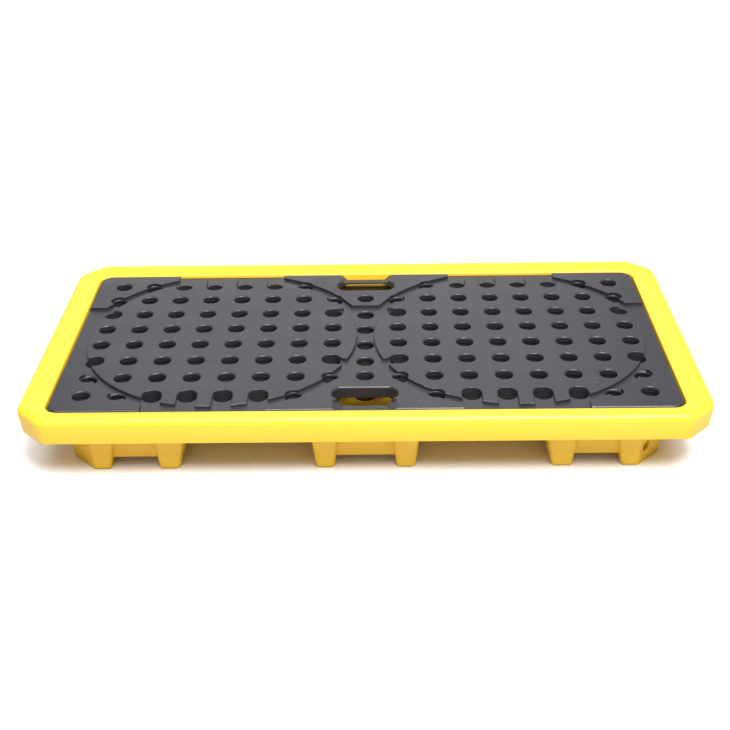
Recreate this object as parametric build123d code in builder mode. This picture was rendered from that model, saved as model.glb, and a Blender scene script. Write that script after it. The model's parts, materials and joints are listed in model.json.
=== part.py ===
from build123d import *
import os

# Low-profile two-drum spill containment pallet, millimetres, +Z up.
# Origin: centre of the footprint on the ground. X is the long side, Y the short side.

# ---- driving dimensions -------------------------------------------------------------
LENGTH = 1300.0             # over the rim, X
WIDTH = 680.0               # over the rim, Y
HEIGHT = 150.0              # ground to rim crest
WALL = 5.0                  # moulded wall of the tray

# tray rim: a channel open underneath, its top sloping down to the opening
RIM_CHAMFER = 50.0          # leg of the 45 degree cut at each outer corner
RIM_SKIRT_BOTTOM = 98.0
RIM_INNER_TOP = 142.0
RIM_EDGE_RADIUS = 12.0
RIM_CORNER = 10.0           # rounding of the upright edges
CREST_INSET = 16.0          # from the outer edge to the crest line
CREST_RADIUS = 54.0
OPENING_X = 600.0           # half sizes of the opening that the deck drops into
OPENING_Y = 295.0
OPENING_RADIUS = 28.0

# ledge and tunnel roofs that carry the deck
LEDGE_TOP = 97.0
REST_PAD = (46.0, 300.0)    # raised pads on the tunnel roofs, X by Y
PAD_RADIUS = 8.0
PAD_PITCH = 110.0

# sump pans
PAN_FLOOR = 24.0            # underside of the pan floors
PAN_TOP = LEDGE_TOP - WALL
PAN_Y_TOP = 273.0
PAN_Y_BOTTOM = 268.0
PAN_CORNER = 14.0
CENTRE_X_TOP = 107.0
CENTRE_X_BOTTOM = 100.0
SIDE_X_TOP = (339.0, 585.0)
SIDE_X_BOTTOM = (350.0, 576.0)
PAN_CHAMFER_SUM = 760.0     # x + y along the cut outer corner of a side pan

# feet: width along X at the top (under the rim) and at the ground
FOOT_TOP_Z = 100.0
FOOT_FRONT_TOP = 291.0      # distance of a foot's outer face from the centre line
FOOT_FRONT_BOTTOM = 277.0
FOOT_BACK = 214.0           # inner face of an end foot, at the top and at the ground
FOOT_BACK_BOTTOM = 220.0
FOOT_CORNER = 9.0
FOOT_EDGE = 7.0
CENTRE_FOOT = ((49.0, 106.0), (59.0, 96.0))
INNER_FOOT = ((340.0, 404.0), (356.0, 397.0))
CORNER_FOOT = ((474.0, 545.0), (489.0, 528.0))
MIDDLE_FOOT_Y = (36.0, 30.0)

# rope eye in the 45 degree web of each corner foot
WEB_SUM = 797.0             # x + y along the outer face of the web, at the ground
WEB_LEAN = 0.18             # growth of x + y with height: the web leans outward
WEB_THICKNESS = 9.0
WEB_X = (525.0, 569.0)
SIDE_BLOCK_X = 6.0          # the side block stands this far outside the web
SIDE_BLOCK_STEP = 10.0
SIDE_BLOCK_INNER = 8.0
SIDE_BLOCK_END = 184.0      # distance of its inner end from the centre line
POCKET_X = 518.0            # open space for the rope, behind the web, starts at this X
EYE_RADIUS = 12.0
EYE_OVERCUT = 2.0
EYE_X = 536.0
EYE_Z = 40.0

# deck
DECK_X = 597.0              # half sizes
DECK_Y = 292.0
DECK_RADIUS = 25.0
DECK_TOP = 142.0            # drum platforms, corner blocks and handle blocks
PLATE_TOP = 136.0
PLATE_BOTTOM = 130.0
DECK_BOTTOM = 97.5
DECK_WALL = 5.0
PITCH = 67.5
ROWS = 8
COLUMNS = 17
HOLE_RADIUS = 16.5
HOLE_ROUNDING = 3.6
WIDE_HOLE_RADIUS = 18.5     # holes whose platform edge is cut away
RELIEF_RADIUS = 17.0        # clearance cut through a block over a groove hole
TUBE_WALL = 4.0
RIB_WIDTH = 3.5

DISC_X = 294.0              # centre of each round drum platform
DISC_RADIUS = 277.0
MOAT_RADIUS = 297.0         # inner edge of the blocks around it
EDGE_ROUNDING = 1.6
SLOT_WIDTH = 38.0
SMALL_SLOT = 26.0
SLOT_REACH = 80.0           # a slot runs past the edge of its platform

BLOCK_Y = 135.0             # blocks reach from here out to the front and back edges
CORNER_BLOCK_X = 421.0
CENTRE_BLOCK_X = 185.0
BLOCK_EDGE_RADIUS = 5.0

# hand holes
HAND_X = 62.0               # half width at the wide side
HAND_NARROW_X = 42.0        # half width beside the grip bar
HAND_Y = (212.0, 266.0)
HAND_CORNER = 12.0          # cut at the two inner corners, along X
HAND_SIDE = (226.0, 242.0)  # the straight ends, between the two cuts, in Y
HAND_RADIUS = 8.0
HAND_ROUNDING = 4.5
COLLAR_BOTTOM = 118.0
COLLAR_WALL = 3.0
GRIP_DROP = 9.0             # the grip bar is lower than the block
GRIP_Y = 282.0              # outer side of the grip bar
GRIP_FLARE = 2.0            # the lowered part is this much wider than the hand hole
GRIP_OVERLAP = 8.0          # it starts this far inside the hand hole
GRIP_CUT_HEIGHT = 30.0


# ---- hole layout --------------------------------------------------------------------
def row_y(row):
    return PITCH * (row - (ROWS - 1) / 2)


def column_x(column):
    return PITCH * (column - (COLUMNS - 1) / 2)


def disc_distance(x, y):
    return ((abs(x) - DISC_X) ** 2 + y**2) ** 0.5


HOLES = [
    (column_x(c), row_y(r))
    for c in range(COLUMNS)
    for r in range(ROWS)
    if not (abs(column_x(c)) < 1.5 * PITCH and r in (0, ROWS - 1))
]
FULL_DISC_LIMIT = 248.6     # holes nearer a disc centre than this are whole
GRID_END_ROW = row_y(ROWS - 1)


def hole_kind(x, y):
    """Say which level a hole opens at, and how the platform edge is cut beside it."""
    distance = disc_distance(x, y)
    outer_row = abs(y) > GRID_END_ROW - 1
    waist_side = abs(abs(x) - PITCH) < 1 and abs(abs(y) - 1.5 * PITCH) < 1
    if outer_row and distance < DISC_RADIUS - 10:
        return "slot_y"
    if waist_side or FULL_DISC_LIMIT < distance < DISC_RADIUS - 8:
        return "slot_radial"
    if distance <= FULL_DISC_LIMIT:
        return "disc"
    in_corner = abs(x) > CORNER_BLOCK_X and abs(y) > BLOCK_Y
    in_centre = abs(x) < CENTRE_BLOCK_X and abs(y) > BLOCK_Y
    if (in_corner or in_centre) and distance > MOAT_RADIUS + HOLE_RADIUS + HOLE_ROUNDING:
        return "block"
    return "groove"


def holes_of(*kinds):
    return [(x, y) for x, y in HOLES if hole_kind(x, y) in kinds]


def trumpet(top, bottom):
    """Cutter for one hole: a straight bore with its upper edge rounded over."""
    with BuildPart(mode=Mode.PRIVATE) as cutter:
        with BuildSketch(Plane.XZ):
            with BuildLine():
                Polyline((0, bottom), (HOLE_RADIUS, bottom), (HOLE_RADIUS, top - HOLE_ROUNDING))
                RadiusArc(
                    (HOLE_RADIUS, top - HOLE_ROUNDING),
                    (HOLE_RADIUS + HOLE_ROUNDING, top),
                    HOLE_ROUNDING,
                )
                Polyline(
                    (HOLE_RADIUS + HOLE_ROUNDING, top),
                    (HOLE_RADIUS + HOLE_ROUNDING, top + 1),
                    (0, top + 1),
                    (0, bottom),
                )
            make_face()
        revolve(axis=Axis.Z)
    return cutter.part


def save(builder, name):
    builder.part.label = name
    export_step(builder.part, "parts/" + name + ".step")


os.makedirs("parts", exist_ok=True)


# ---- tray rim -----------------------------------------------------------------------
def rim_outline(inset):
    """Corners of the outer outline, moved inward by inset, with 45 degree cut corners."""
    x = LENGTH / 2 - inset
    y = WIDTH / 2 - inset
    cut = RIM_CHAMFER - inset * (2 - 2**0.5)
    return [
        (x, y - cut), (x - cut, y), (cut - x, y), (-x, y - cut),
        (-x, cut - y), (cut - x, -y), (x - cut, -y), (x, cut - y),
    ]


with BuildPart() as tray_rim:
    with BuildSketch(Plane.XY.offset(RIM_SKIRT_BOTTOM)):
        Polygon(*rim_outline(0), align=None)
    extrude(amount=HEIGHT - RIM_SKIRT_BOTTOM)
    fillet(tray_rim.edges().filter_by(Axis.Z), RIM_CORNER)
    fillet(tray_rim.edges().group_by(Axis.Z)[-1], RIM_EDGE_RADIUS)
    # the dished top: it falls from the crest to the edge of the opening
    with BuildSketch(Plane.XY.offset(RIM_INNER_TOP)):
        RectangleRounded(2 * OPENING_X, 2 * OPENING_Y, OPENING_RADIUS)
    with BuildSketch(Plane.XY.offset(HEIGHT)):
        RectangleRounded(LENGTH - 2 * CREST_INSET, WIDTH - 2 * CREST_INSET, CREST_RADIUS)
    loft(mode=Mode.SUBTRACT)
    # the channel underneath
    with BuildSketch(Plane.XY.offset(RIM_SKIRT_BOTTOM - 1)):
        Polygon(*rim_outline(WALL), align=None)
        RectangleRounded(
            2 * (OPENING_X + WALL), 2 * (OPENING_Y + WALL), OPENING_RADIUS + WALL,
            mode=Mode.SUBTRACT,
        )
    extrude(amount=RIM_INNER_TOP - WALL - RIM_SKIRT_BOTTOM + 1, mode=Mode.SUBTRACT)
    # the inner wall, down to the ledge, and the opening itself
    with BuildSketch(Plane.XY.offset(LEDGE_TOP)):
        RectangleRounded(
            2 * (OPENING_X + WALL), 2 * (OPENING_Y + WALL), OPENING_RADIUS + WALL
        )
    extrude(amount=RIM_SKIRT_BOTTOM - LEDGE_TOP)
    with BuildSketch(Plane.XY.offset(LEDGE_TOP - 1)):
        RectangleRounded(2 * OPENING_X, 2 * OPENING_Y, OPENING_RADIUS)
    extrude(amount=HEIGHT, mode=Mode.SUBTRACT)
save(tray_rim, "tray_rim")


# ---- sump pans ----------------------------------------------------------------------
def pan_plan(x_low, x_high, y_half, cut_sum, inset):
    """Sketch of one pan's plan; cut_sum is x + y on its cut corners, or None."""
    with BuildSketch(mode=Mode.PRIVATE) as plan:
        with Locations(((x_low + x_high) / 2, 0)):
            RectangleRounded(
                x_high - x_low - 2 * inset, 2 * (y_half - inset), PAN_CORNER - inset / 2
            )
        if cut_sum:
            reach = cut_sum - inset * 2**0.5
            Polygon(
                (reach - 2 * y_half, 2 * y_half), (reach, 0), (reach - 2 * y_half, -2 * y_half),
                (-reach, -2 * y_half), (-reach, 2 * y_half), align=None, mode=Mode.INTERSECT,
            )
    return plan.sketch


def pan_block(x_top, x_bottom, cut_sum, inset, floor, top):
    """Tapered block of a pan: the outside for inset 0, the cavity for inset WALL."""
    share = (floor - PAN_FLOOR) / (PAN_TOP - PAN_FLOOR)
    low = [b + (t - b) * share for t, b in zip(x_top, x_bottom)]
    y_low = PAN_Y_BOTTOM + (PAN_Y_TOP - PAN_Y_BOTTOM) * share
    over = (top - PAN_FLOOR) / (PAN_TOP - PAN_FLOOR)
    high = [b + (t - b) * over for t, b in zip(x_top, x_bottom)]
    y_high = PAN_Y_BOTTOM + (PAN_Y_TOP - PAN_Y_BOTTOM) * over
    with BuildPart(mode=Mode.PRIVATE) as block:
        with BuildSketch(Plane.XY.offset(floor)):
            add(pan_plan(*low, y_low, cut_sum, inset))
        with BuildSketch(Plane.XY.offset(top)):
            add(pan_plan(*high, y_high, cut_sum, inset))
        loft()
    return block.part


centre_spans = ((-CENTRE_X_TOP, CENTRE_X_TOP), (-CENTRE_X_BOTTOM, CENTRE_X_BOTTOM), None)
side_spans = (SIDE_X_TOP, SIDE_X_BOTTOM, PAN_CHAMFER_SUM)
pan_outside = {
    "centre": pan_block(*centre_spans, 0, PAN_FLOOR, PAN_TOP),
    "side": pan_block(*side_spans, 0, PAN_FLOOR, PAN_TOP),
}
pan_cavity = {
    "centre": pan_block(*centre_spans, WALL, PAN_FLOOR + WALL, PAN_TOP + 1),
    "side": pan_block(*side_spans, WALL, PAN_FLOOR + WALL, PAN_TOP + 1),
}


# ---- ledge that carries the edge of the deck ----------------------------------------
ROOF_SPAN = (CENTRE_X_TOP - WALL, SIDE_X_TOP[0] + WALL)     # between two pan mouths
ROOF_CENTRE = sum(ROOF_SPAN) / 2
MOUTH_X = SIDE_X_TOP[1] - WALL      # outer side of the side pans' mouths
MOUTH_Y = PAN_Y_TOP - WALL
LEDGE_BARS = {                      # centre and size in plan
    "front": ((0, -OPENING_Y), (2 * LENGTH, 2 * (OPENING_Y - MOUTH_Y + PAN_CORNER))),
    "back": ((0, OPENING_Y), (2 * LENGTH, 2 * (OPENING_Y - MOUTH_Y + PAN_CORNER))),
    "left": ((-OPENING_X, 0), (LENGTH / 2, 2 * (MOUTH_Y - PAN_CORNER))),
    "right": ((OPENING_X, 0), (LENGTH / 2, 2 * (MOUTH_Y - PAN_CORNER))),
}
side_mouth = pan_plan(*SIDE_X_TOP, PAN_Y_TOP, PAN_CHAMFER_SUM, WALL)
for bar_name, (bar_centre, bar_size) in LEDGE_BARS.items():
    with BuildPart() as ledge_bar:
        with BuildSketch(Plane.XY.offset(PAN_TOP)):
            RectangleRounded(
                2 * (OPENING_X + WALL), 2 * (OPENING_Y + WALL), OPENING_RADIUS + WALL
            )
            with Locations(bar_centre):
                Rectangle(*bar_size, mode=Mode.INTERSECT)
            add(pan_plan(*centre_spans[0], PAN_Y_TOP, None, WALL), mode=Mode.SUBTRACT)
            add(side_mouth, mode=Mode.SUBTRACT)
            add(mirror(side_mouth, about=Plane.YZ, mode=Mode.PRIVATE), mode=Mode.SUBTRACT)
            with Locations((-ROOF_CENTRE, 0), (ROOF_CENTRE, 0)):
                Rectangle(
                    ROOF_SPAN[1] - ROOF_SPAN[0], 2 * (MOUTH_Y - PAN_CORNER), mode=Mode.SUBTRACT
                )
        extrude(amount=WALL)
    save(ledge_bar, "deck_ledge_" + bar_name)


# ---- feet ---------------------------------------------------------------------------
def foot_block(top_span, bottom_span, y_top, y_bottom, inset, low):
    """Tapered foot between two x spans and two y spans; inset gives its cavity."""
    rise = low / FOOT_TOP_Z
    x_low = [b + (t - b) * rise for t, b in zip(top_span, bottom_span)]
    y_low = [b + (t - b) * rise for t, b in zip(y_top, y_bottom)]
    with BuildPart(mode=Mode.PRIVATE) as block:
        for z, xs, ys in ((low, x_low, y_low), (FOOT_TOP_Z, top_span, y_top)):
            with BuildSketch(Plane.XY.offset(z)):
                with Locations(((xs[0] + xs[1]) / 2, (ys[0] + ys[1]) / 2)):
                    RectangleRounded(
                        xs[1] - xs[0] - 2 * inset, ys[1] - ys[0] - 2 * inset,
                        FOOT_CORNER - inset / 2,
                    )
        loft()
        if not inset:
            fillet(block.edges().group_by(Axis.Z)[0], FOOT_EDGE)
    return block.part


END_Y_TOP = (FOOT_BACK, FOOT_FRONT_TOP)
END_Y_BOTTOM = (FOOT_BACK_BOTTOM, FOOT_FRONT_BOTTOM)
MID_Y_TOP = (-MIDDLE_FOOT_Y[0], MIDDLE_FOOT_Y[0])
MID_Y_BOTTOM = (-MIDDLE_FOOT_Y[1], MIDDLE_FOOT_Y[1])
FOOT_KINDS = {
    "centre": (CENTRE_FOOT, "centre"),
    "inner": (INNER_FOOT, "side"),
    "corner": (CORNER_FOOT, "side"),
}


def foot_parts(kind, y_top, y_bottom):
    """Outside and cavity of a foot on the +X side, at the back or in the middle."""
    spans = FOOT_KINDS[kind][0]
    outside = foot_block(*spans, y_top, y_bottom, 0, 0)
    cavity = foot_block(*spans, y_top, y_bottom, WALL, WALL)
    return outside, cavity


WEB_STEP = WEB_THICKNESS * (2 + WEB_LEAN**2) ** 0.5


def web_plan(z):
    """Outline of the web and the side block behind it at height z."""
    total = WEB_SUM + WEB_LEAN * z
    x0, x1 = WEB_X
    outer = x1 + SIDE_BLOCK_X + WEB_LEAN * z / 2
    inner = x1 - SIDE_BLOCK_INNER
    return [
        (x0, total - x0), (x1, total - x1), (outer, total - outer - SIDE_BLOCK_STEP),
        (outer, SIDE_BLOCK_END), (inner, SIDE_BLOCK_END), (inner, total - WEB_STEP - inner),
        (x0, total - WEB_STEP - x0),
    ]


def corner_web():
    """The leaning plate of a corner foot, and the side block behind it."""
    with BuildPart(mode=Mode.PRIVATE) as web:
        for z in (0.0, FOOT_TOP_Z):
            with BuildSketch(Plane.XY.offset(z)):
                Polygon(*web_plan(z), align=None)
        loft(ruled=True)
    return web.part


def rope_eye():
    """Cutter for the rope eye, square to the leaning web."""
    eye_y = WEB_SUM + WEB_LEAN * EYE_Z - EYE_X
    eye_plane = Plane(origin=(EYE_X, eye_y, EYE_Z), x_dir=(1, -1, 0), z_dir=(1, 1, -WEB_LEAN))
    with BuildPart(mode=Mode.PRIVATE) as cutter:
        with BuildSketch(eye_plane.offset(WEB_THICKNESS)):
            Circle(EYE_RADIUS)
        extrude(amount=-2 * WEB_THICKNESS - EYE_OVERCUT)
    return cutter.part


def web_pocket():
    """Open space behind the web, between the foot and the side block."""
    with BuildPart(mode=Mode.PRIVATE) as pocket:
        for z in (0.0, FOOT_TOP_Z):
            back = WEB_SUM + WEB_LEAN * z - WEB_STEP
            with BuildSketch(Plane.XY.offset(z)):
                Polygon(
                    (POCKET_X, back - POCKET_X), (OPENING_X, back - OPENING_X),
                    (OPENING_X, 0), (POCKET_X, 0), align=None,
                )
        loft(ruled=True)
    return pocket.part


def clear_of_pocket(cavity):
    """Keep a wall between the hollow of a corner foot and the open space behind its web."""
    with BuildPart(mode=Mode.PRIVATE) as kept:
        add(cavity)
        split(bisect_by=Plane(origin=(POCKET_X - WALL, 0, 0), z_dir=(1, 0, 0)), keep=Keep.BOTTOM)
    return kept.part


end_feet = {kind: foot_parts(kind, END_Y_TOP, END_Y_BOTTOM) for kind in FOOT_KINDS}
corner_outside, corner_cavity = end_feet["corner"]
end_feet["corner"] = (corner_outside, clear_of_pocket(corner_cavity))
middle_feet = {kind: foot_parts(kind, MID_Y_TOP, MID_Y_BOTTOM) for kind in FOOT_KINDS}
corner_plate = corner_web()
rope_space = web_pocket()
eye_cutter = rope_eye()


def placed(shape, side, end):
    """Mirror a +X, back shape to the side (-1 or 1) and end (-1 front, 1 back) asked for."""
    if side < 0:
        shape = mirror(shape, about=Plane.YZ, mode=Mode.PRIVATE)
    if end < 0:
        shape = mirror(shape, about=Plane.XZ, mode=Mode.PRIVATE)
    return shape


SIDES = {"left": -1, "right": 1}
ENDS = {"front": -1, "middle": 0, "back": 1}


def cavities(kinds, sides):
    """All foot cavities that open into a pan."""
    shapes = []
    for kind in kinds:
        for side in sides:
            shapes.append(placed(middle_feet[kind][1], side, 1))
            for end in (-1, 1):
                shapes.append(placed(end_feet[kind][1], side, end))
    return shapes


for pan_name, kinds, sides, mirrored in (
    ("sump_pan_centre", ("centre",), (-1, 1), 1),
    ("sump_pan_left", ("inner", "corner"), (-1,), -1),
    ("sump_pan_right", ("inner", "corner"), (1,), 1),
):
    shape_key = "centre" if "centre" in kinds else "side"
    with BuildPart() as sump_pan:
        add(placed(pan_outside[shape_key], mirrored, 1))
        add(placed(pan_cavity[shape_key], mirrored, 1), mode=Mode.SUBTRACT)
        for cavity in cavities(kinds, sides):
            add(cavity, mode=Mode.SUBTRACT)
    save(sump_pan, pan_name)

for end_name, end in ENDS.items():
    for kind, (spans, pan_key) in FOOT_KINDS.items():
        for side_name, side in SIDES.items():
            outside, cavity = (end_feet if end else middle_feet)[kind]
            with BuildPart() as foot:
                add(outside)
                if kind == "corner" and end:
                    web_face = Plane(origin=(WEB_SUM, 0, 0), z_dir=(1, 1, -WEB_LEAN))
                    split(bisect_by=web_face, keep=Keep.BOTTOM)
                    add(rope_space, mode=Mode.SUBTRACT)
                    add(corner_plate)
                    if side > 0:                        # the rope eyes are at the right end
                        add(eye_cutter, mode=Mode.SUBTRACT)
                with BuildSketch(Plane.XY.offset(PAN_TOP)):
                    Rectangle(2 * LENGTH, 2 * WIDTH)
                extrude(amount=HEIGHT, mode=Mode.SUBTRACT)
                add(pan_outside[pan_key], mode=Mode.SUBTRACT)
                add(cavity, mode=Mode.SUBTRACT)
            foot_name = "_".join(["foot", end_name, kind, side_name])
            moved = placed(foot.part, side, end or 1)
            moved.label = foot_name
            export_step(moved, "parts/" + foot_name + ".step")

# ---- tunnel roofs -------------------------------------------------------------------
for side_name, side in SIDES.items():
    with BuildPart() as tunnel_roof:
        with BuildSketch(Plane.XY.offset(PAN_TOP - WALL)):
            with Locations((side * ROOF_CENTRE, 0)):
                Rectangle(ROOF_SPAN[1] - ROOF_SPAN[0] - 2 * WALL, 2 * (OPENING_Y + WALL))
        extrude(amount=WALL)
        with BuildSketch(Plane.XY.offset(PAN_TOP)):
            with Locations((side * ROOF_CENTRE, 0)):
                with GridLocations(PAD_PITCH, 0, 2, 1):
                    RectangleRounded(*REST_PAD, PAD_RADIUS)
        extrude(amount=LEDGE_TOP - PAN_TOP)
    save(tunnel_roof, "tunnel_roof_" + side_name)


# ---- deck ---------------------------------------------------------------------------
def hand_hole_plan(end):
    """Plan of a hand hole: its outer side, by the grip bar, is the narrow one."""
    inner, outer = HAND_Y
    with BuildSketch(mode=Mode.PRIVATE) as plan:
        with BuildLine():
            FilletPolyline(
                (HAND_CORNER - HAND_X, end * inner), (HAND_X - HAND_CORNER, end * inner),
                (HAND_X, end * HAND_SIDE[0]), (HAND_X, end * HAND_SIDE[1]),
                (HAND_NARROW_X, end * outer), (-HAND_NARROW_X, end * outer),
                (-HAND_X, end * HAND_SIDE[1]), (-HAND_X, end * HAND_SIDE[0]),
                radius=HAND_RADIUS, close=True,
            )
        make_face()
    return plan.sketch


hand_holes = [hand_hole_plan(end) for end in (-1, 1)]


def grip_cut(end):
    """Wedge that lowers the grip bar between a hand hole and the edge of the deck."""
    outer = end * (DECK_Y + 1)
    with BuildPart(mode=Mode.PRIVATE) as cut:
        with BuildSketch(Plane.XZ.offset(-outer)):
            Polygon(
                (-HAND_NARROW_X, DECK_TOP - GRIP_DROP), (HAND_NARROW_X, DECK_TOP - GRIP_DROP),
                (HAND_X + GRIP_FLARE, DECK_TOP + 1), (-HAND_X - GRIP_FLARE, DECK_TOP + 1),
                align=None,
            )
        extrude(amount=end * (DECK_Y + 1 - HAND_Y[1] + GRIP_OVERLAP))
        with BuildSketch(Plane.XY.offset(DECK_TOP + 1 - GRIP_CUT_HEIGHT)):
            with Locations((0, end * DECK_Y)):
                Trapezoid(
                    2 * HAND_X, 2 * (DECK_Y - GRIP_Y), 45, rotation=0 if end < 0 else 180,
                    align=Align.CENTER,
                )
        extrude(amount=GRIP_CUT_HEIGHT)
    return cut.part


grip_cuts = [grip_cut(end) for end in (-1, 1)]

with BuildPart() as whole_plate:
    with BuildSketch(Plane.XY.offset(PLATE_BOTTOM)):
        RectangleRounded(2 * DECK_X, 2 * DECK_Y, DECK_RADIUS)
        for plan in hand_holes:
            add(plan, mode=Mode.SUBTRACT)
        with Locations(*holes_of("disc", "block")):
            Circle(HOLE_RADIUS, mode=Mode.SUBTRACT)
        with Locations(*holes_of("slot_y", "slot_radial")):
            Circle(WIDE_HOLE_RADIUS, mode=Mode.SUBTRACT)
    extrude(amount=PLATE_TOP - PLATE_BOTTOM)
    with Locations(*[(x, y, 0) for x, y in holes_of("groove")]):
        add(trumpet(PLATE_TOP, PLATE_BOTTOM - 1), mode=Mode.SUBTRACT)
    for cut in grip_cuts:
        add(cut, mode=Mode.SUBTRACT)

# the plate in simple pieces that leave the hand holes open: x span and y span of each
plate_pieces = {"deck_plate": ((-DECK_X, DECK_X), (-HAND_Y[0], HAND_Y[0]))}
for end_name, end in (("front", -1), ("back", 1)):
    band = sorted((end * HAND_Y[0], end * DECK_Y))
    plate_pieces["grip_bar_" + end_name] = ((-HAND_NARROW_X, HAND_NARROW_X), band)
    plate_pieces["deck_band_" + end_name + "_left"] = ((-DECK_X, -HAND_NARROW_X), band)
    plate_pieces["deck_band_" + end_name + "_right"] = ((HAND_NARROW_X, DECK_X), band)
for piece_name, (x_span, y_span) in plate_pieces.items():
    with BuildPart() as plate_piece:
        add(whole_plate.part)
        with Locations((sum(x_span) / 2, sum(y_span) / 2, PLATE_TOP)):
            Box(x_span[1] - x_span[0], y_span[1] - y_span[0], HEIGHT, mode=Mode.INTERSECT)
    save(plate_piece, piece_name)

for side_name, side in SIDES.items():
    own = [(x, y) for x, y in HOLES if abs(x - side * DISC_X) < DISC_RADIUS + HOLE_RADIUS]
    with BuildPart() as platform:
        with BuildSketch(Plane.XY.offset(PLATE_TOP)):
            with Locations((side * DISC_X, 0)):
                Circle(DISC_RADIUS)
            for x, y in own:
                kind = hole_kind(x, y)
                if kind == "slot_y":
                    with Locations((x, y)):
                        Circle(SLOT_WIDTH / 2, mode=Mode.SUBTRACT)
                    with Locations((x, y + (SLOT_REACH if y > 0 else -SLOT_REACH) / 2)):
                        Rectangle(SLOT_WIDTH, SLOT_REACH, mode=Mode.SUBTRACT)
                if kind == "slot_radial":
                    spoke = Vector(x - side * DISC_X, y)
                    turn = spoke.get_signed_angle(Vector(1, 0), Vector(0, 0, -1))
                    with Locations((x, y)):
                        Circle(SLOT_WIDTH / 2, mode=Mode.SUBTRACT)
                    with Locations(Location((x, y), turn)):
                        Rectangle(
                            SLOT_REACH, SMALL_SLOT, align=(Align.MIN, Align.CENTER), mode=Mode.SUBTRACT
                        )
                if kind == "groove":
                    with Locations((x, y)):
                        Circle(RELIEF_RADIUS, mode=Mode.SUBTRACT)
        extrude(amount=DECK_TOP - PLATE_TOP)
        fillet(platform.edges().group_by(Axis.Z)[-1], EDGE_ROUNDING)
        inside = [(x, y, 0) for x, y in own if hole_kind(x, y) == "disc"]
        with Locations(*inside):
            add(trumpet(DECK_TOP, PLATE_TOP - 1), mode=Mode.SUBTRACT)
    save(platform, "drum_platform_" + side_name)


def relieve(x_low, x_high, y_low, y_high):
    """Cut a block's sketch clear of the groove holes that lie beside it."""
    for x, y in HOLES:
        near = x_low - PITCH < x < x_high + PITCH and y_low - PITCH < y < y_high + PITCH
        if near and hole_kind(x, y) != "block":
            with Locations((x, y)):
                Circle(RELIEF_RADIUS, mode=Mode.SUBTRACT)


for end_name, end in (("front", -1), ("back", 1)):
    y_span = sorted((end * BLOCK_Y, end * DECK_Y))
    for side_name, side in SIDES.items():
        x_span = sorted((side * CORNER_BLOCK_X, side * DECK_X))
        with BuildPart() as block:
            with BuildSketch(Plane.XY.offset(PLATE_TOP)):
                RectangleRounded(2 * DECK_X, 2 * DECK_Y, DECK_RADIUS)
                with Locations((sum(x_span) / 2, sum(y_span) / 2)):
                    Rectangle(x_span[1] - x_span[0], DECK_Y - BLOCK_Y, mode=Mode.INTERSECT)
                with Locations((side * DISC_X, 0)):
                    Circle(MOAT_RADIUS, mode=Mode.SUBTRACT)
                relieve(*x_span, *y_span)
            extrude(amount=DECK_TOP - PLATE_TOP)
            top = block.edges().group_by(Axis.Z)[-1]
            outer = top.filter_by(
                lambda e: abs(e.center().X) > DECK_X - 10 or abs(e.center().Y) > DECK_Y - 10
            )
            fillet(outer, BLOCK_EDGE_RADIUS)
            own = [(x, y, 0) for x, y in holes_of("block") if x * side > CORNER_BLOCK_X
                   and y * end > 0]
            with Locations(*own):
                add(trumpet(DECK_TOP, PLATE_TOP - 1), mode=Mode.SUBTRACT)
        save(block, "_".join(["corner_block", end_name, side_name]))

    with BuildPart() as block:
        with BuildSketch(Plane.XY.offset(PLATE_TOP)):
            with Locations((0, sum(y_span) / 2)):
                Rectangle(2 * CENTRE_BLOCK_X, DECK_Y - BLOCK_Y)
            with Locations((-DISC_X, 0), (DISC_X, 0)):
                Circle(MOAT_RADIUS, mode=Mode.SUBTRACT)
            relieve(-CENTRE_BLOCK_X, CENTRE_BLOCK_X, *y_span)
        extrude(amount=DECK_TOP - PLATE_TOP)
        outer = block.edges().group_by(Axis.Z)[-1].filter_by(
            lambda e: abs(e.center().Y) > DECK_Y - 5
        )
        fillet(outer, BLOCK_EDGE_RADIUS)
        own = [(x, y, 0) for x, y in holes_of("block") if abs(x) < PITCH and y * end > 0]
        with Locations(*own):
            add(trumpet(DECK_TOP, PLATE_TOP - 1), mode=Mode.SUBTRACT)
        with BuildSketch(Plane.XY.offset(PLATE_TOP)):
            add(hand_hole_plan(end))
        extrude(amount=DECK_TOP, mode=Mode.SUBTRACT)
        hand_rim = block.edges().group_by(Axis.Z)[-1].filter_by(
            lambda e: abs(e.center().X) < HAND_X + 1
            and HAND_Y[0] - 1 < abs(e.center().Y) < HAND_Y[1] + 1
        )
        fillet(hand_rim, HAND_ROUNDING)
        add(grip_cut(end), mode=Mode.SUBTRACT)
    save(block, "handle_block_" + end_name)

with BuildPart() as deck_skirt:
    with BuildSketch(Plane.XY.offset(DECK_BOTTOM)):
        RectangleRounded(2 * DECK_X, 2 * DECK_Y, DECK_RADIUS)
        RectangleRounded(
            2 * (DECK_X - DECK_WALL), 2 * (DECK_Y - DECK_WALL), DECK_RADIUS - DECK_WALL,
            mode=Mode.SUBTRACT,
        )
    extrude(amount=PLATE_BOTTOM - DECK_BOTTOM)
    for cut in grip_cuts:
        add(cut, mode=Mode.SUBTRACT)
save(deck_skirt, "deck_skirt")

# a short wall under the plate, round the inner side and the ends of each hand hole
for end_name, end in (("front", -1), ("back", 1)):
    with BuildPart() as hand_collar:
        with BuildSketch(Plane.XY.offset(COLLAR_BOTTOM)):
            add(hand_hole_plan(end))
            offset(amount=COLLAR_WALL)
            add(hand_hole_plan(end), mode=Mode.SUBTRACT)
            with Locations((0, end * HAND_Y[0])):
                Rectangle(4 * HAND_X, 2 * (HAND_SIDE[1] - HAND_Y[0]), mode=Mode.INTERSECT)
        extrude(amount=PLATE_BOTTOM - COLLAR_BOTTOM)
    save(hand_collar, "hand_collar_" + end_name)

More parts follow.
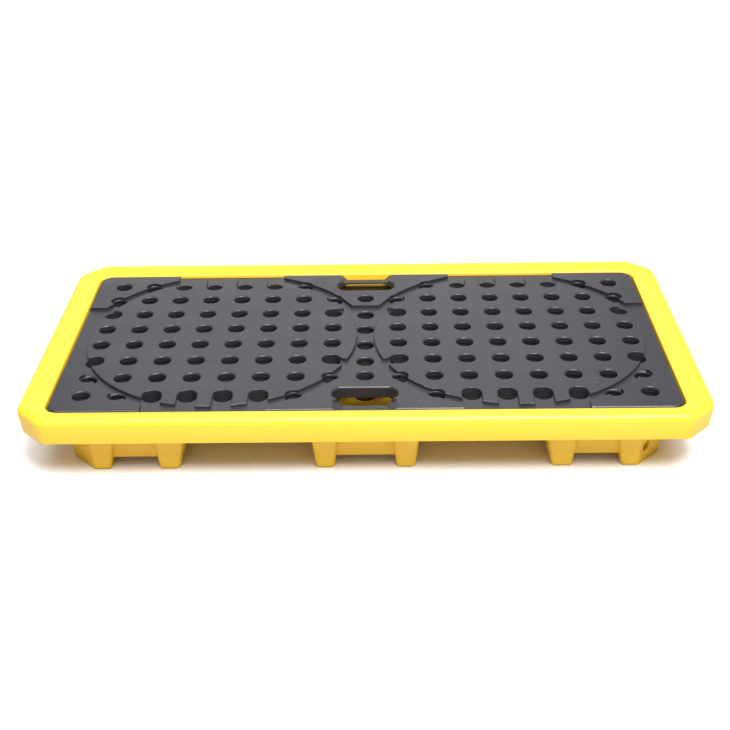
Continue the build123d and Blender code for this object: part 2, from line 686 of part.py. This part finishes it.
# drain tubes and ribs under the plate, in three panels that leave the hand holes open
PANEL_EDGE = 1.5 * PITCH - 8        # clear of the ring of tubes beside the hand holes
CENTRE_PANEL_Y = 2.5 * PITCH + WIDE_HOLE_RADIUS + TUBE_WALL
RIB_PANELS = {
    "left": ((-DECK_X, -PANEL_EDGE), DECK_Y - DECK_WALL),
    "centre": ((-PANEL_EDGE, PANEL_EDGE), CENTRE_PANEL_Y),
    "right": ((PANEL_EDGE, DECK_X), DECK_Y - DECK_WALL),
}
for panel_name, (panel_x, panel_y) in RIB_PANELS.items():
    low, high = panel_x
    with BuildPart() as rib_panel:
        with BuildSketch(Plane.XY.offset(DECK_BOTTOM)):
            with GridLocations(0, PITCH, 1, ROWS):
                Rectangle(2 * DECK_X, RIB_WIDTH)
            with GridLocations(PITCH, 0, COLUMNS, 1):
                Rectangle(RIB_WIDTH, 2 * DECK_Y)
            with Locations(*HOLES):
                Circle(WIDE_HOLE_RADIUS + TUBE_WALL)
            with Locations(((low + high) / 2, 0)):
                Rectangle(high - low, 2 * panel_y, mode=Mode.INTERSECT)
            RectangleRounded(
                2 * (DECK_X - DECK_WALL), 2 * (DECK_Y - DECK_WALL), DECK_RADIUS - DECK_WALL,
                mode=Mode.INTERSECT,
            )
            with Locations(*HOLES):
                Circle(WIDE_HOLE_RADIUS, mode=Mode.SUBTRACT)
        extrude(amount=PLATE_BOTTOM - DECK_BOTTOM)
    save(rib_panel, "rib_panel_" + panel_name)
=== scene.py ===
import json
import logging
import math
from dataclasses import dataclass
from enum import Enum

import bpy
import numpy as np
from mathutils import Matrix, Vector


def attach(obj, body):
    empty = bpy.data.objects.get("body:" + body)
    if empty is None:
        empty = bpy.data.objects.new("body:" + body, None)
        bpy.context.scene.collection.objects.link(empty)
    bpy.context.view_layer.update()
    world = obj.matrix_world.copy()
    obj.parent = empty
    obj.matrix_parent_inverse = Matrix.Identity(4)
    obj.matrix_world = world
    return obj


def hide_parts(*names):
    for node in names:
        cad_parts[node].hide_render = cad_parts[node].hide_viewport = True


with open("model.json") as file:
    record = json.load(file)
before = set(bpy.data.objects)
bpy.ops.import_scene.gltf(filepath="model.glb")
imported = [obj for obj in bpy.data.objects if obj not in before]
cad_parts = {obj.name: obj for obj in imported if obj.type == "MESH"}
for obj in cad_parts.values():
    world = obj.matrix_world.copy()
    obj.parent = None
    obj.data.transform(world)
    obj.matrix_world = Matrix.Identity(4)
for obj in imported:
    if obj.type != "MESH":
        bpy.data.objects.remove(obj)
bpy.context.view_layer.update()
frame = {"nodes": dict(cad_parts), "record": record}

MM = 0.001
SOFT_EDGES = 60.0           # degrees; only edges sharper than this stay crisp on a mark
NODES = frame["nodes"]
log = logging.getLogger("spill_pallet")


class Body(Enum):
    """The two mouldings that come apart, by the name of their CAD body."""

    TRAY = "tray"
    DECK = "deck"


class Slot(Enum):
    """Material slots of the record."""

    YELLOW = "tray_yellow"
    BLACK = "deck_black"


# ---- helpers ------------------------------------------------------------------------
def linear(hex_colour: str) -> tuple[float, float, float, float]:
    """Turn an sRGB hex colour such as "#f7c600" into linear RGBA."""
    parts = np.array([int(hex_colour[i : i + 2], 16) for i in (1, 3, 5)]) / 255.0
    low = parts / 12.92
    high = ((parts + 0.055) / 1.055) ** 2.4
    r, g, b = np.where(parts <= 0.04045, low, high)
    return (float(r), float(g), float(b), 1.0)


def add_node(
    tree: bpy.types.NodeTree,
    kind: str,
    settings: dict[str, object] | None = None,
    inputs: dict[object, object] | None = None,
) -> bpy.types.Node:
    """Add one shader node with its settings, and set or link its inputs.

    Args:
        tree: The material's node tree.
        kind: The node's bl_idname.
        settings: Attribute name to value.
        inputs: Socket name or number to a value, or to an output socket to link.

    Returns:
        The new node.
    """
    node = tree.nodes.new(kind)
    for name, value in (settings or {}).items():
        setattr(node, name, value)
    for key, value in (inputs or {}).items():
        if isinstance(value, bpy.types.NodeSocket):
            tree.links.new(value, node.inputs[key])
        else:
            node.inputs[key].default_value = value
    return node


def new_piece(
    name: str,
    points: np.ndarray,
    faces: np.ndarray,
    material: bpy.types.Material,
    body: Body,
    smooth_angle: float = 35.0,
) -> bpy.types.Object:
    """Make a mesh object in metres from points in millimetres and let it ride on a body.

    Args:
        name: The piece's name.
        points: Points, one row each, in millimetres in the pallet's frame.
        faces: Quads as rows of four point numbers.
        material: Its finish.
        body: The moulding that it belongs to.
        smooth_angle: Edges sharper than this many degrees stay crisp.

    Returns:
        The finished object.
    """
    mesh = bpy.data.meshes.new(name)
    mesh.from_pydata((points * MM).tolist(), [], faces.tolist())
    mesh.validate()
    mesh.materials.append(material)
    mesh.shade_smooth()
    mesh.set_sharp_from_angle(angle=math.radians(smooth_angle))
    piece = bpy.data.objects.new(name, mesh)
    bpy.context.scene.collection.objects.link(piece)
    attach(piece, body.value)
    log.info("%s: %d faces", name, len(faces))
    return piece


def grid_faces(rows: int, columns: int, close_rows: bool, close_columns: bool) -> np.ndarray:
    """Quads of a grid of rows x columns points, numbered row by row.

    Args:
        rows: Points along the first parameter.
        columns: Points along the second parameter.
        close_rows: Join the last row to the first.
        close_columns: Join the last column to the first.

    Returns:
        One row of four point numbers for each quad.
    """
    r = np.arange(rows if close_rows else rows - 1)[:, None]
    c = np.arange(columns if close_columns else columns - 1)[None, :]
    r_next = (r + 1) % rows
    c_next = (c + 1) % columns
    quads = [
        r * columns + c,
        r * columns + c_next,
        r_next * columns + c_next,
        r_next * columns + c,
    ]
    return np.stack([np.broadcast_to(q, (r.size, c.size)) for q in quads], -1).reshape(-1, 4)


def arc(
    centre: tuple[float, float], radius: float, start: float, end: float, count: int
) -> np.ndarray:
    """Points on a circle: centre + radius (cos a, sin a), a going evenly from start to end.

    Args:
        centre: Centre of the circle.
        radius: Its radius.
        start: First angle in degrees.
        end: Last angle in degrees.
        count: How many points.

    Returns:
        An array of count rows of x and y.
    """
    angle = np.radians(np.linspace(start, end, count))
    return np.stack([centre[0] + radius * np.cos(angle), centre[1] + radius * np.sin(angle)], -1)


# ---- finishes -----------------------------------------------------------------------
@dataclass(frozen=True)
class MouldedPolyethylene:
    """Injection moulded high density polyethylene with a fine spark-eroded mould texture.

    To the eye it is a satin skin: a broad soft highlight, a faint leathery grain about a
    millimetre across, slow changes of gloss where the melt flowed, and shallow scuffs.
    """

    name: str
    colour: str                 # the pigment in full light
    shade: str                  # the same pigment where the melt ran thin
    scuff: str                  # rubbed and dusty skin
    roughness: float
    grain_mm: float = 1.1
    grain_depth_mm: float = 0.035
    flow_mm: float = 160.0
    scuff_share: float = 0.10
    specular: float = 0.5
    fleck_mm: float = 26.0
    fleck_stretch: float = 3.2
    fleck_turn: float = 0.5     # radians
    fleck_range: tuple[float, float] = (0.58, 0.75)     # noise where scuffs begin and are full
    gloss_range: tuple[float, float] = (0.3, 0.7)       # noise where gloss is least and most
    gloss_less: float = 0.05    # roughness taken off at the low end
    gloss_more: float = 0.06    # roughness added at the high end
    grain_strength: float = 0.35
    wave_mm: float = 45.0
    wave_depth_mm: float = 0.8
    wave_strength: float = 0.25
    refraction: float = 1.54

    def make(self) -> bpy.types.Material:
        """Build the node material."""
        material = bpy.data.materials.new(self.name)
        material.use_nodes = True
        tree = material.node_tree
        tree.nodes.clear()
        coordinates = add_node(tree, "ShaderNodeTexCoord").outputs["Object"]
        flow = add_node(
            tree, "ShaderNodeTexNoise",
            inputs={"Vector": coordinates, "Scale": 1000 / self.flow_mm, "Detail": 3.0,
                    "Roughness": 0.55},
        )
        pigment = add_node(
            tree, "ShaderNodeMix", {"data_type": "RGBA"},
            {0: flow.outputs["Fac"], 6: linear(self.shade), 7: linear(self.colour)},
        )
        # scuffs: drawn-out flecks a few millimetres wide, only where the noise peaks
        stretched = add_node(
            tree, "ShaderNodeMapping",
            inputs={"Vector": coordinates, "Scale": (1.0, self.fleck_stretch, 1.0),
                    "Rotation": (0, 0, self.fleck_turn)},
        )
        flecks = add_node(
            tree, "ShaderNodeTexNoise",
            inputs={"Vector": stretched.outputs[0], "Scale": 1000 / self.fleck_mm, "Detail": 6.0,
                    "Roughness": 0.7},
        )
        fleck_mask = add_node(
            tree, "ShaderNodeMapRange",
            inputs={"Value": flecks.outputs["Fac"], "From Min": self.fleck_range[0],
                    "From Max": self.fleck_range[1], "To Min": 0.0,
                    "To Max": self.scuff_share},
        )
        colour = add_node(
            tree, "ShaderNodeMix", {"data_type": "RGBA"},
            {0: fleck_mask.outputs[0], 6: pigment.outputs[2], 7: linear(self.scuff)},
        )
        gloss = add_node(
            tree, "ShaderNodeMapRange",
            inputs={"Value": flow.outputs["Fac"], "From Min": self.gloss_range[0],
                    "From Max": self.gloss_range[1],
                    "To Min": self.roughness - self.gloss_less,
                    "To Max": self.roughness + self.gloss_more},
        )
        grain = add_node(
            tree, "ShaderNodeTexNoise",
            inputs={"Vector": coordinates, "Scale": 1000 / self.grain_mm, "Detail": 2.0,
                    "Roughness": 0.5},
        )
        skin = add_node(
            tree, "ShaderNodeBump",
            inputs={"Height": grain.outputs["Fac"], "Strength": self.grain_strength,
                    "Distance": self.grain_depth_mm * MM},
        )
        waves = add_node(
            tree, "ShaderNodeTexNoise",
            inputs={"Vector": coordinates, "Scale": 1000 / self.wave_mm, "Detail": 1.0},
        )
        surface = add_node(
            tree, "ShaderNodeBump",
            inputs={"Height": waves.outputs["Fac"], "Strength": self.wave_strength,
                    "Distance": self.wave_depth_mm * MM, "Normal": skin.outputs[0]},
        )
        shader = add_node(
            tree, "ShaderNodeBsdfPrincipled",
            inputs={"Base Color": colour.outputs[2], "Roughness": gloss.outputs[0],
                    "Normal": surface.outputs[0], "IOR": self.refraction,
                    "Specular IOR Level": self.specular},
        )
        add_node(tree, "ShaderNodeOutputMaterial", inputs={"Surface": shader.outputs[0]})
        return material


YELLOW_POLYETHYLENE = MouldedPolyethylene(
    name="yellow_moulded_polyethylene", colour="#f5c730", shade="#f0be24", scuff="#f7da78",
    roughness=0.42, scuff_share=0.12,
)
BLACK_POLYETHYLENE = MouldedPolyethylene(
    name="black_moulded_polyethylene", colour="#2b2b31", shade="#26262c", scuff="#46464e",
    roughness=0.40, scuff_share=0.22, flow_mm=120.0,
)


# ---- tray ---------------------------------------------------------------------------
@dataclass
class TrayRim:
    """The rim: a rounded channel, open underneath, round the opening for the deck."""

    half_x: float = 650.0
    half_y: float = 340.0
    chamfer: float = 50.0
    corner_radius: float = 24.0
    opening_x: float = 600.0
    opening_y: float = 295.0
    opening_radius: float = 28.0
    crest: float = 150.0
    inner_top: float = 142.0
    skirt_bottom: float = 96.5
    draft: float = 4.5
    ledge: float = 97.0
    edge_radius: float = 12.0
    lip_radius: float = 3.5
    hem_radius: float = 2.0
    wall: float = 5.0
    crest_flat: float = 5.0     # nearly level strip inside the rounding
    crest_dip: float = 0.25     # how far it has sunk at its inner end
    dish_run: float = 6.0       # the first stretch of the dished top
    dish_dip: float = 1.3       # its depth below the crest there
    inner_chamfer: float = 2.0  # inside corner between the top and the opening's wall
    crest_thinning: float = 1.0 # added to the wall under the crest
    arc_points: int = 7
    side_points: int = 24

    def corner_pair(self) -> tuple[np.ndarray, np.ndarray]:
        """Outer and inner outline of the corner at +X +Y, going anticlockwise.

        The outer one is a 45 degree cut between two rounded bends of 45 degrees; the inner
        one is a quarter circle. Both have the same number of points.
        """
        r = self.corner_radius
        back = r * math.tan(math.radians(22.5))
        low = (self.half_x - r, self.half_y - self.chamfer - back)
        high = (self.half_x - self.chamfer - back, self.half_y - r)
        first = arc(low, r, 0, 45, self.arc_points)
        last = arc(high, r, 45, 90, self.arc_points)
        outer = np.concatenate([first, last])
        inner = arc(
            (self.opening_x - self.opening_radius, self.opening_y - self.opening_radius),
            self.opening_radius, 0, 90, len(outer),
        )
        return outer, inner

    def outlines(self) -> tuple[np.ndarray, np.ndarray]:
        """Both outlines as closed loops of matching points, with the sides divided evenly."""
        outer_corner, inner_corner = self.corner_pair()
        loops = []
        for corner in (outer_corner, inner_corner):
            quarter = [
                corner, corner[::-1] * (-1, 1), corner * (-1, -1), corner[::-1] * (1, -1)
            ]
            loop = []
            for index, bend in enumerate(quarter):
                following = quarter[(index + 1) % 4]
                share = np.linspace(0, 1, self.side_points + 2)[1:-1, None]
                loop += [bend, bend[-1] + (following[0] - bend[-1]) * share]
            loops.append(np.concatenate(loop))
        return loops[0], loops[1]

    def profile(self, width: float) -> np.ndarray:
        """Closed section of the channel as (distance inward from the outer face, height).

        Up the skirt, over a quarter circle to the crest, down the dished top, over the lip
        into the opening and down to the ledge, then back along the inside of the wall.
        """
        r, lip, hem, w = self.edge_radius, self.lip_radius, self.hem_radius, self.wall
        crest_end = r + self.crest_flat
        cut = self.inner_chamfer
        slope = math.degrees(math.atan2(self.crest - self.inner_top, width - lip - crest_end))
        outside = np.concatenate([
            arc((hem, self.skirt_bottom + hem), hem, 270, 180, 4),
            arc((r, self.crest - r), r, 180, 90, 9),
            [(crest_end, self.crest - self.crest_dip)],
            [(crest_end + self.dish_run, self.crest - self.dish_dip)],
            arc((width - lip, self.inner_top - lip), lip, 90 - slope, 0, 6),
            [(width, self.ledge)],
        ])
        inside = np.concatenate([
            [(width - w, self.ledge)],
            [(width - w, self.inner_top - w - cut)],
            [(width - w - cut, self.inner_top - w)],
            [(crest_end, self.crest - w - self.crest_thinning)],
            arc((r, self.crest - r), r - w, 90, 180, 6),
            [(w, self.skirt_bottom + hem)],
        ])
        return np.concatenate([outside, inside])

    def build(self, material: bpy.types.Material) -> bpy.types.Object:
        """Carry the section round both outlines.

        A point is outer + (inner - outer) d / width in plan, and its height comes from the
        section, so the roundings keep their true size while the rim's width changes. The
        skirt leans inward by draft x depth below the edge, so the mould lets it go.
        """
        outer, inner = self.outlines()
        across = inner - outer
        width = np.linalg.norm(across, axis=1)
        sections = np.stack([self.profile(w) for w in width])
        below_edge = (self.crest - self.edge_radius - sections[..., 1]).clip(0)
        lean = self.draft * below_edge / (self.crest - self.edge_radius - self.skirt_bottom)
        sections[..., 0] += np.where(sections[..., 0] < width[:, None] / 2, lean, 0)
        plan = outer[:, None, :] + across[:, None, :] * (sections[..., :1] / width[:, None, None])
        points = np.concatenate([plan, sections[..., 1:]], -1)
        rows, columns = points.shape[:2]
        faces = grid_faces(rows, columns, True, True)
        piece = new_piece(
            "rim_shell", points.reshape(-1, 3), faces, material, Body.TRAY
        )
        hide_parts("tray_rim")
        return piece


# ---- deck details -------------------------------------------------------------------
@dataclass
class DeckMarks:
    """Low relief that moulding leaves on top of the deck.

    Rib witness lines run from hole to hole along each row, round ejector marks stand beside
    the hand holes, and small framed inserts stand on the drum platforms.
    """

    pitch: float = 67.5
    rows: int = 8
    columns: int = 17
    disc_x: float = 294.0
    whole_hole_limit: float = 248.6     # holes nearer a disc centre than this are whole
    row_reach: float = 3.0              # rows marked, in pitches either side of the middle
    top: float = 142.0
    gap: float = 22.0
    line_width: float = 4.5
    line_rise: float = 0.28
    ring_radius: float = 12.5
    ring_width: float = 1.8
    ring_rise: float = 0.3
    ring_points: int = 40
    root_depth: float = 0.02    # how far each mark is sunk into the deck
    fade_rate: float = 5.0      # lines reach full height after 1 / fade_rate of their length
    frame_power: int = 8        # superellipse power of the inserts
    ring_places: tuple[tuple[float, float], ...] = (
        (102.0, -251.0), (-102.0, -251.0), (102.0, 258.0), (-102.0, 258.0),
    )
    frame_places: tuple[tuple[float, float], ...] = (
        (-438.0, 205.0), (-438.0, -192.0), (-100.0, -126.0), (438.0, 205.0), (438.0, -192.0),
    )
    frame_half: tuple[float, float] = (13.0, 6.5)

    def line_spans(self) -> np.ndarray:
        """Starts and row heights (x, y) of every stretch between two whole holes of a row."""
        x = self.pitch * (np.arange(self.columns) - (self.columns - 1) / 2)
        y = self.pitch * (np.arange(self.rows) - (self.rows - 1) / 2)
        grid_x, grid_y = np.meshgrid(x, y)
        whole = np.hypot(np.abs(grid_x) - self.disc_x, grid_y) < self.whole_hole_limit
        whole &= np.abs(grid_y) < self.pitch * self.row_reach
        pair = whole[:, :-1] & whole[:, 1:] & (grid_x[:, :-1] * grid_x[:, 1:] > 0)
        return np.stack([grid_x[:, :-1][pair], grid_y[:, :-1][pair]], -1)

    def lines(self, material: bpy.types.Material) -> bpy.types.Object:
        """Low arched strips: height = rise cos^2 across the strip, fading out at both ends."""
        across = np.linspace(-0.5, 0.5, 7)
        along = np.linspace(0.0, 1.0, 6)
        u, v = np.meshgrid(along, across, indexing="ij")
        fade = np.clip(np.minimum(u, 1 - u) * self.fade_rate, 0, 1)
        height = self.line_rise * np.cos(np.pi * v) ** 2 * fade - self.root_depth
        length = self.pitch - 2 * self.gap
        starts = self.line_spans()
        x = starts[:, 0, None, None] + self.gap + length * u
        y = starts[:, 1, None, None] + self.line_width * v
        z = np.broadcast_to(self.top + height, x.shape)
        points = np.stack([x, y, z], -1)
        one = grid_faces(len(along), len(across), False, False)
        faces = one[None] + (np.arange(len(starts)) * u.size)[:, None, None]
        return new_piece(
            "rib_witness_lines", points.reshape(-1, 3), faces.reshape(-1, 4), material,
            Body.DECK, SOFT_EDGES,
        )

    def raised_loops(
        self, loops: np.ndarray, normals: np.ndarray
    ) -> tuple[np.ndarray, np.ndarray]:
        """Carry a low half-round bead round closed loops.

        Args:
            loops: Loops of points in plan, shaped (loops, points, 2).
            normals: Unit outward directions at those points, of the same shape.

        Returns:
            Points and quads. A point is loop + normal w cos t / 2, rise sin t above the top.
        """
        turn = np.radians(np.linspace(180, 0, 6))
        offset = self.ring_width / 2 * np.cos(turn)
        rise = self.ring_rise * np.sin(turn) - self.root_depth
        plan = loops[:, :, None, :] + normals[:, :, None, :] * offset[:, None]
        height = np.broadcast_to(self.top + rise, plan.shape[:-1])
        points = np.concatenate([plan, height[..., None]], -1)
        count, along, across = points.shape[:3]
        one = grid_faces(along, across, True, False)
        faces = one[None] + (np.arange(count) * along * across)[:, None, None]
        return points.reshape(-1, 3), faces.reshape(-1, 4)

    def rings(self, material: bpy.types.Material) -> bpy.types.Object:
        """Round ejector marks beside the hand holes."""
        angle = np.linspace(0, 2 * np.pi, self.ring_points, endpoint=False)
        out = np.stack([np.cos(angle), np.sin(angle)], -1)
        loops = np.array(self.ring_places)[:, None, :] + self.ring_radius * out
        points, faces = self.raised_loops(loops, np.broadcast_to(out, loops.shape))
        return new_piece(
            "ejector_marks", points, faces, material, Body.DECK, SOFT_EDGES
        )

    def frames(self, material: bpy.types.Material) -> bpy.types.Object:
        """Framed mould inserts: a superellipse |x/a|^p + |y/b|^p = 1 as the loop."""
        angle = np.linspace(0, 2 * np.pi, self.ring_points, endpoint=False)
        c, s = np.cos(angle), np.sin(angle)
        power = self.frame_power
        size = (np.abs(c) ** power + np.abs(s) ** power) ** (-1 / power)
        half = np.array(self.frame_half)
        loop = np.stack([c, s], -1) * size[:, None] * half
        out = np.stack([c * half[1], s * half[0]], -1)
        out /= np.linalg.norm(out, axis=1, keepdims=True)
        loops = np.array(self.frame_places)[:, None, :] + loop
        points, faces = self.raised_loops(loops, np.broadcast_to(out, loops.shape))
        return new_piece(
            "mould_insert_marks", points, faces, material, Body.DECK, SOFT_EDGES
        )

    def build(self, material: bpy.types.Material) -> None:
        """Make all three kinds of mark."""
        self.lines(material)
        self.rings(material)
        self.frames(material)


# ---- stage --------------------------------------------------------------------------
@dataclass(frozen=True)
class Studio:
    """A white room: pale floor, white surroundings, a high soft light and two lamps."""

    camera_place: tuple[float, float, float] = (0.0253, -2.2265, 1.328)
    yaw: float = -0.698
    pitch: float = 29.46
    roll: float = -0.857
    focal_mm: float = 60.29
    sensor_mm: float = 36.0
    view_distance: float = 60.0
    floor_reach: float = 40.0
    floor_roughness: float = 0.9
    floor_seen: str = "#fcfcfc"
    floor_thrown: str = "#c0c0c0"       # its colour to the light that it throws back
    room_strength: float = 0.36
    ceiling_strength: float = 2.5
    ceiling_angle: float = 60.0
    ceiling_place: tuple[float, float, float] = (0.3, -0.8, 3.0)
    softbox_size: float = 1.5
    softbox_power: float = 150.0
    softbox_place: tuple[float, float, float] = (0.5, -1.7, 2.9)
    sheen_size: float = 3.0
    sheen_power: float = 26.0
    sheen_place: tuple[float, float, float] = (-0.2, 3.6, 2.1)

    def camera(self) -> None:
        """Place the camera: forward from yaw and pitch, then turned about it by roll."""
        yaw, pitch, roll = (math.radians(a) for a in (self.yaw, self.pitch, self.roll))
        forward = Vector((
            math.sin(yaw) * math.cos(pitch), math.cos(yaw) * math.cos(pitch), -math.sin(pitch)
        ))
        level = Vector((math.cos(yaw), -math.sin(yaw), 0.0))
        rise = level.cross(forward)
        right = level * math.cos(roll) + rise * math.sin(roll)
        up = rise * math.cos(roll) - level * math.sin(roll)
        data = bpy.data.cameras.new("camera")
        data.lens = self.focal_mm
        data.sensor_width = self.sensor_mm
        data.clip_end = self.view_distance
        camera = bpy.data.objects.new("camera", data)
        turn = Matrix((right, up, -forward)).transposed().to_4x4()
        camera.matrix_world = Matrix.Translation(self.camera_place) @ turn
        bpy.context.scene.collection.objects.link(camera)
        bpy.context.scene.camera = camera

    def floor(self) -> None:
        """A very large pale floor with its top at the ground."""
        mesh = bpy.data.meshes.new("floor")
        reach = self.floor_reach
        mesh.from_pydata(
            [(-reach, -reach, 0), (reach, -reach, 0), (reach, reach, 0), (-reach, reach, 0)],
            [], [(0, 1, 2, 3)],
        )
        material = bpy.data.materials.new("white_paper")
        material.use_nodes = True
        tree = material.node_tree
        shader = tree.nodes["Principled BSDF"]
        shader.inputs["Roughness"].default_value = self.floor_roughness
        # the paper looks white to the camera, yet throws less light back up at the tray
        path = add_node(tree, "ShaderNodeLightPath")
        paper = add_node(
            tree, "ShaderNodeMix", {"data_type": "RGBA"},
            {0: path.outputs["Is Camera Ray"], 6: linear(self.floor_thrown),
             7: linear(self.floor_seen)},
        )
        tree.links.new(paper.outputs[2], shader.inputs["Base Color"])
        mesh.materials.append(material)
        floor = bpy.data.objects.new("floor", mesh)
        bpy.context.scene.collection.objects.link(floor)

    def lights(self) -> None:
        """White surroundings, a broad high light, a softbox in front and a sheen behind."""
        world = bpy.data.worlds.new("white_room")
        world.use_nodes = True
        background = world.node_tree.nodes["Background"]
        background.inputs["Color"].default_value = (1.0, 1.0, 1.0, 1.0)
        background.inputs["Strength"].default_value = self.room_strength
        bpy.context.scene.world = world
        ceiling = bpy.data.lights.new("ceiling", "SUN")
        ceiling.energy = self.ceiling_strength
        ceiling.angle = math.radians(self.ceiling_angle)
        softbox = bpy.data.lights.new("softbox", "AREA")
        softbox.size = self.softbox_size
        softbox.energy = self.softbox_power
        sheen = bpy.data.lights.new("sheen", "AREA")
        sheen.size = self.sheen_size
        sheen.energy = self.sheen_power
        for data, place in (
            (ceiling, self.ceiling_place), (softbox, self.softbox_place), (sheen, self.sheen_place),
        ):
            lamp = bpy.data.objects.new(data.name, data)
            lamp.matrix_world = (
                Matrix.Translation(place)
                @ Vector(place).to_track_quat("Z", "Y").to_matrix().to_4x4()
            )
            lamp.visible_camera = False
            bpy.context.scene.collection.objects.link(lamp)

    def build(self) -> None:
        """Set plain colour, the camera, the floor and the lights."""
        bpy.context.scene.view_settings.view_transform = "Standard"
        self.camera()
        self.floor()
        self.lights()


def main() -> None:
    """Build the stage, dress the mouldings and add the new pieces."""
    logging.basicConfig(level=logging.INFO, format="%(name)s %(message)s")
    Studio().build()
    yellow = YELLOW_POLYETHYLENE.make()
    black = BLACK_POLYETHYLENE.make()
    tray_nodes = frame["record"]["behaviour"]["bodies"][Body.TRAY.value]
    for name, node in NODES.items():
        finish = yellow if name in tray_nodes else black
        node.data.materials.clear()
        node.data.materials.append(finish)
    TrayRim().build(yellow)
    DeckMarks().build(black)


if __name__ == "__main__":
    main()
